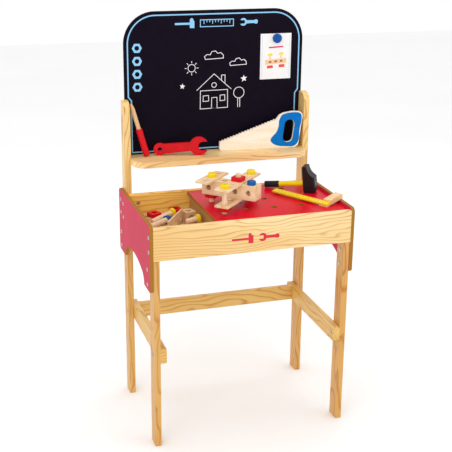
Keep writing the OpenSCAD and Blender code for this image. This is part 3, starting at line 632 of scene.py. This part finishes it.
def flat_ink(name, color, chalky=False):
    m = Mat(name)
    if chalky:
        dust = m.noise(m.mapping(scale=(700, 700, 700)), 1.0, 3.0, 0.7)
        m.color(m.mix(m.fac(dust, 0.38, 0.62), tuple(c * 0.75 for c in color), color))
        m.rough(0.95)
        m.bump(dust, 0.3, 0.0003)
    else:
        drift = m.noise(m.mapping(scale=(300, 300, 300)), 1.0, 2.0, 0.6)
        m.color(m.two_tone(m.fac(drift, 0.3, 0.7), color, 0.9))
        m.rough(m.fac(drift, 0.3, 0.7, 0.45, 0.55))
    return m.mat


# the board's front face, in mm
BOARD_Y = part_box("chalkboard")[0][1] * 1000
ink_blue = flat_ink("ink_pale_blue", (0.26, 0.60, 0.90))
chalk = flat_ink("chalk_white", (0.97, 0.97, 0.99), chalky=True)

# a line inside the board's edge, and four nuts down its left side
edge_line = ([(-232, 699), (232, 699), (232, 840), (240, 850)]
             + arc(166, 988, 74, 0, 90, 18) + arc(-166, 988, 74, 90, 180, 18)
             + [(-240, 850), (-232, 840)])
board_print = [stroke(edge_line, 3.4, True)]
for z in (978.5, 944.3, 910.1, 876.0):
    board_print.append(hex_nut(-215, z, 27, 12.5))


def hammer_shape(cx, cz, s):
    """Plain hammer lying with its head to the right of its shaft."""
    pts = [(-34, -3), (10, -3), (10, -11), (12, -13), (24, -13), (24, 5), (19, 15), (14, 16), (10, 12),
           (10, 3), (-34, 3), (-36, 0)]
    return poly([(cx + s * x, cz + s * z) for x, z in pts])


def spanner_shape(cx, cz, s):
    """Open-ended spanner with its jaw to the left."""
    jaw_out = arc(0, 0, 12, 145, 24, 10)
    shaft = [(36, 4.4), (40, 6.5), (46, 6.5), (49, 0), (46, -6.5), (40, -6.5), (36, -4.4)]
    pts = jaw_out + shaft + arc(0, 0, 12, -24, -145, 10) + arc(0, 0, 5.8, -125, 125, 12)
    return poly([(cx + s * x, cz + s * z) for x, z in pts])


# a hammer, a rule with graduations, and a spanner
board_print.append(hammer_shape(-80, 1038, 0.9))
board_print.append(stroke([(-42, 1029), (50, 1029), (50, 1047), (-42, 1047)], 2.2, True))
for i in range(10):
    x = -32 + 8.0 * i
    board_print.append(stroke([(x, 1045.9), (x, 1036 if i % 3 == 0 else 1040)], 2.0))
board_print.append(spanner_shape(78, 1038.5, 0.85))
layer("board_print", board_print, BOARD_Y, 0.12, ink_blue, "bench")

CHALK_LINE = 1.7


def cloud(cx, cz, s):
    top = [(-26, -8), (-28, 0), (-21, 5), (-12, 4), (-8, 12), (2, 14), (9, 7), (17, 9), (24, 3), (25, -6)]
    return stroke([(cx + s * x, cz + s * z) for x, z in top], CHALK_LINE, True)


def sun(cx, cz, r):
    rays = [[(cx + k * r * math.cos(a), cz + k * r * math.sin(a)) for k in (1.35, 1.9)]
            for a in (2 * math.pi * i / 8 for i in range(8))]
    return [ring(cx, cz, r, CHALK_LINE)] + [stroke(ray, CHALK_LINE) for ray in rays]


def chalk_line(*points):
    return stroke(points, CHALK_LINE)


def chalk_box(x0, z0, x1, z1):
    """A box drawn by hand, not quite square."""
    return stroke([(x0, z0), (x1, z0 + 0.8), (x1 - 0.6, z1), (x0 + 0.5, z1 - 0.6)], CHALK_LINE, True)


# a child's drawing: a house, a tree, the sun, two clouds and two stars
sky = sun(-66, 920, 10) + [cloud(-2, 950, 1.0), cloud(66, 930, 0.9)]
sky += [star(82, 886, 10, 96), star(-92, 872, 8, 84)]
walls = chalk_box(-42, 808, 36, 858)
door = chalk_box(-10, 808, 6, 838)
windows = [chalk_box(-34, 828, -18, 844), chalk_box(14, 828, 28, 844), ring(-3, 872, 6.5, CHALK_LINE)]
roof = chalk_line((-52, 859), (-3, 902), (46, 859))
chimney = chalk_line((18, 884.5), (18, 898), (28, 898), (28, 876.5))
tree = [ring(68, 848, 15, CHALK_LINE)]
tree += [chalk_line((65, 832.5), (65, 808)), chalk_line((71, 832.5), (71, 808))]
doodle = sky + [walls, roof, door] + windows + [chimney] + tree
layer("chalk_drawing", doodle, BOARD_Y, 0.12, chalk, "bench")

# the plan card's own picture
card_low = Vector(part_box("plan_card")[0]) * 1000
CARD_Y = card_low.y


def on_card(x, z):
    return card_low.x + x, card_low.z + z


def spot(x, z):
    """A drilled hole on the card, drawn as a small oval."""
    cx, cz = on_card(x, z)
    turns = [2 * math.pi * i / 14 for i in range(14)]
    return poly([(cx + 4 * math.cos(a), cz + 3 * math.sin(a)) for a in turns])


def card_line(points, width, closed=False):
    return stroke([on_card(*p) for p in points], width, closed)


layer("card_rules", [card_line([(5, 4), (5, 120)], 1.0), card_line([(84.5, 4), (84.5, 120)], 1.0),
                     card_line([(78, 24), (81, 24)], 1.2), card_line([(78, 17), (81, 17)], 1.2)],
      CARD_Y, 0.05, flat_ink("card_ink_blue", (0.42, 0.60, 0.88)), "plan_card")
layer("card_heading", [card_line([(24, 86), (66, 88)], 4.2)],
      CARD_Y, 0.05, flat_ink("card_ink_pink", (0.80, 0.02, 0.13)), "plan_card")
# how a bolt, a drilled plate and a nut go together
layer("card_plate", [card_line([(14, 46), (76, 50)], 13.0), card_line([(28, 62), (28.6, 55)], 5.0),
                     card_line([(60, 64), (60.6, 57)], 5.0)],
      CARD_Y, 0.05, flat_ink("card_ink_wood", (0.90, 0.56, 0.30)), "plan_card")
layer("card_bolt_heads", [card_line([(22, 66), (35, 67)], 7.0), card_line([(54, 68), (67, 69)], 7.0)],
      CARD_Y, 0.05, flat_ink("card_ink_yellow", (0.93, 0.72, 0.06)), "plan_card")
layer("card_nuts", [card_line([(20, 33), (37, 34)], 8.0), card_line([(54, 35), (71, 36)], 8.0)],
      CARD_Y, 0.05, flat_ink("card_ink_red", (0.80, 0.07, 0.03)), "plan_card")
layer("card_holes", [spot(29, 47), spot(45, 48), spot(61, 49)],
      CARD_Y - 0.05, 0.05, flat_ink("card_ink_brown", (0.28, 0.12, 0.05)), "plan_card")

# graduations and numbers on the try square's rule, in the square's own frame
SQUARE_CORNER = Vector((0.211, -0.1295, 0.5963))
SQUARE_TILT = math.radians(-8)
SQUARE_TURN = Matrix.Rotation(SQUARE_YAW, 3, "Z") @ Matrix.Rotation(SQUARE_TILT, 3, "Y")
RULE_TOP = 8.0
RULE_W = 19
# the marks' places, in mm: from the rule's own edge, and along it from the stock
MARKS_FROM = 0.6
ZERO = 4
CENTIMETRE = 10.0
FIRST_NUMBER = 3
LAST_NUMBER = 17
MARK_LINE = 0.55
DIGITS_FROM = 8.2
DIGIT_TALL = 2.5
DIGIT_WIDE = 2.4
DIGIT_STEP = 3.2
DIGIT_LINE = 0.5
# each digit as one line, 1 wide and 1.6 high before it's scaled
DIGITS = {
    0: [(0.1, 0.3), (0.3, 0), (0.8, 0), (1, 0.3), (1, 1.3), (0.8, 1.6), (0.3, 1.6), (0.1, 1.3), (0.1, 0.3)],
    1: [(0.2, 1.3), (0.6, 1.6), (0.6, 0)],
    2: [(0.1, 1.4), (0.5, 1.6), (0.95, 1.3), (0.9, 0.9), (0.05, 0), (1, 0)],
    3: [(0.1, 1.5), (0.7, 1.6), (0.9, 1.2), (0.5, 0.85), (0.95, 0.5), (0.8, 0.1), (0.1, 0.05)],
    4: [(0.8, 0), (0.8, 1.6), (0.05, 0.5), (1, 0.5)],
    5: [(0.95, 1.6), (0.15, 1.6), (0.15, 0.9), (0.8, 0.95), (0.95, 0.4), (0.7, 0.05), (0.1, 0.05)],
    6: [(0.8, 1.6), (0.2, 0.9), (0.1, 0.3), (0.5, 0), (0.95, 0.35), (0.8, 0.8), (0.25, 0.7)],
    7: [(0.05, 1.6), (1, 1.6), (0.4, 0)],
    8: [(0.5, 0.85), (0.15, 1.25), (0.5, 1.6), (0.85, 1.25), (0.5, 0.85), (0.1, 0.4), (0.5, 0), (0.9, 0.4),
        (0.55, 0.8)],
    9: [(0.2, 0), (0.8, 0.7), (0.9, 1.3), (0.5, 1.6), (0.05, 1.25), (0.2, 0.8), (0.8, 0.9)]}


def on_rule(u, v, height):
    """u runs across the rule, v along it from the stock."""
    return SQUARE_CORNER + SQUARE_TURN @ (Vector((u, v, RULE_TOP + height)) / 1000)


rule_marks = []
for i in range(1, 2 * LAST_NUMBER + 1):
    v = CENTIMETRE / 2 * i + ZERO
    reach = 6.5 if i % 2 == 0 else 3.8
    far_edge = RULE_W - MARKS_FROM
    rule_marks.append(stroke([(MARKS_FROM, v), (reach, v)], MARK_LINE))
    rule_marks.append(stroke([(far_edge, v), (far_edge - reach * 0.6, v)], MARK_LINE))
for number in range(FIRST_NUMBER, LAST_NUMBER + 1):
    text = str(number)
    for k, digit in enumerate(text):
        left = CENTIMETRE * number + ZERO + len(text) * DIGIT_STEP / 2 - DIGIT_STEP * k
        line = [(DIGITS_FROM + DIGIT_TALL * b, left - DIGIT_WIDE * a) for a, b in DIGITS[int(digit)]]
        rule_marks.append(stroke(line, DIGIT_LINE))
layer("rule_marks", rule_marks, 0, 0.06, flat_ink("ink_black", (0.03, 0.025, 0.02)), "try_square",
      on_rule)

# ------------------------------------------------------------------ stage, light and camera


def stage():
    bpy.ops.mesh.primitive_plane_add(size=14, location=(0, 0, 0))
    floor = bpy.context.object
    floor.name = "floor"
    m = Mat("floor_pale")
    cloudy = m.fac(m.noise(m.mapping(scale=(1.5, 1.5, 1.5)), 1.0), 0.3, 0.7)
    m.color(m.mix(cloudy, (0.95, 0.95, 0.95), (0.93, 0.93, 0.93)))
    m.rough(0.75)
    floor.data.materials.append(m.mat)
    world = bpy.data.worlds.new("studio")
    world.use_nodes = True
    background = world.node_tree.nodes["Background"]
    background.inputs["Color"].default_value = (1, 1, 1, 1)
    background.inputs["Strength"].default_value = 1.0
    scene.world = world

    def area(name, loc, target, size, energy):
        data = bpy.data.lights.new(name, "AREA")
        data.size = size
        data.energy = energy
        obj = bpy.data.objects.new(name, data)
        scene.collection.objects.link(obj)
        obj.location = loc
        obj.rotation_euler = (Vector(target) - Vector(loc)).to_track_quat("-Z", "Y").to_euler()

    area("key", (-1.7, -2.2, 2.8), (0, 0, 0.6), 1.8, 20)
    area("fill", (2.2, -1.8, 1.6), (0, 0, 0.6), 2.0, 6)
    area("top", (0.1, 0.3, 3.2), (0, 0, 0.5), 2.0, 14)


CAMERA_PLACE = Vector((-0.7874, -2.3613, 1.3663))
CAMERA_YAW = math.radians(17.83)
CAMERA_PITCH = math.radians(-18.28)
CAMERA_ROLL = math.radians(0.56)


def camera():
    """The photograph's viewpoint: yaw is to the right of straight ahead, pitch is upwards."""
    data = bpy.data.cameras.new("camera")
    data.sensor_fit = "HORIZONTAL"
    data.sensor_width = 36.0
    data.lens = 78.56
    data.shift_x = 0.0064
    data.shift_y = -0.0164
    data.clip_end = 30
    obj = bpy.data.objects.new("camera", data)
    scene.collection.objects.link(obj)
    level = math.cos(CAMERA_PITCH)
    ahead = Vector((math.sin(CAMERA_YAW) * level, math.cos(CAMERA_YAW) * level, math.sin(CAMERA_PITCH)))
    right = Vector((math.cos(CAMERA_YAW), -math.sin(CAMERA_YAW), 0))
    up = right.cross(ahead)
    rolled_right = right * math.cos(CAMERA_ROLL) + up * math.sin(CAMERA_ROLL)
    rolled_up = up * math.cos(CAMERA_ROLL) - right * math.sin(CAMERA_ROLL)
    turn = Matrix((rolled_right, rolled_up, -ahead)).transposed()
    obj.matrix_world = Matrix.Translation(CAMERA_PLACE) @ turn.to_4x4()
    scene.camera = obj


stage()
camera()
